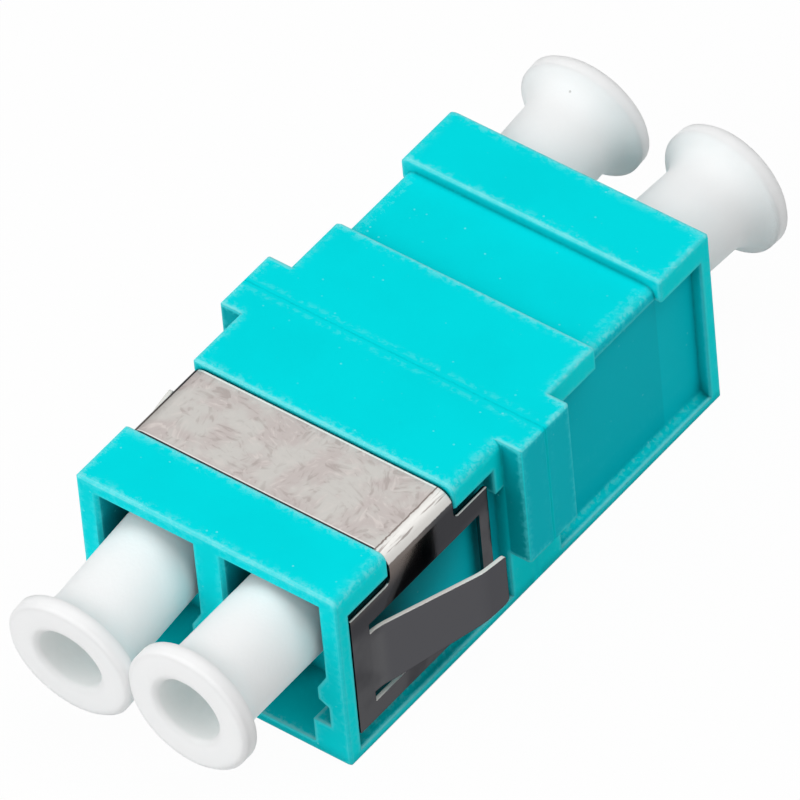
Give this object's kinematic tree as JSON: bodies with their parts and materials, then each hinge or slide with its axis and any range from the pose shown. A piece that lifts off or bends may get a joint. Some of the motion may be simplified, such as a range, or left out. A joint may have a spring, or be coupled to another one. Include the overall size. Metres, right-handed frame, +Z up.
{
  "type": "fibre optic adapter",
  "caption": "Fibre optic adapter: moulded aqua body with panel stop ears, a folded steel spring clip over the top, and pull-out white dust caps in its plug ports.",
  "frame": {"origin": "middle of the flat underside, at mid width and on the weld plane between the two halves", "axes": "+X across the width, +Y along the length away from the spring clip's end, +Z up"},
  "size_m": [0.0168, 0.0359, 0.0096],
  "materials": {
    "housing": "satin moulded plastic",
    "clip": "rolled spring steel, lightly smeared",
    "sleeve": "polished",
    "cap": "waxy soft plastic"
  },
  "bodies": {
    "adapter": {"front_housing": "housing", "rear_housing": "housing", "spring_clip": "clip", "left_sleeve": "sleeve", "right_sleeve": "sleeve"},
    "front_left": {"front_left_cap": "cap"},
    "front_right": {"front_right_cap": "cap"},
    "rear_left": {"rear_left_cap": "cap"},
    "rear_right": {"rear_right_cap": "cap"}
  },
  "joints": [
    {"name": "front_left_pull", "type": "slide", "parent": "adapter", "child": "front_left", "axis": [0.0278, -0.9962, -0.0819], "range_m": [0, 0.007]},
    {"name": "front_right_pull", "type": "slide", "parent": "adapter", "child": "front_right", "axis": [0.0017, -1, 0], "range_m": [0, 0.007]},
    {"name": "rear_left_pull", "type": "slide", "parent": "adapter", "child": "rear_left", "axis": [-0.0348, 0.9978, 0.0558], "range_m": [0, 0.007]},
    {"name": "rear_right_pull", "type": "slide", "parent": "adapter", "child": "rear_right", "axis": [0.0419, 0.9989, -0.0227], "range_m": [0, 0.007]}
  ]
}
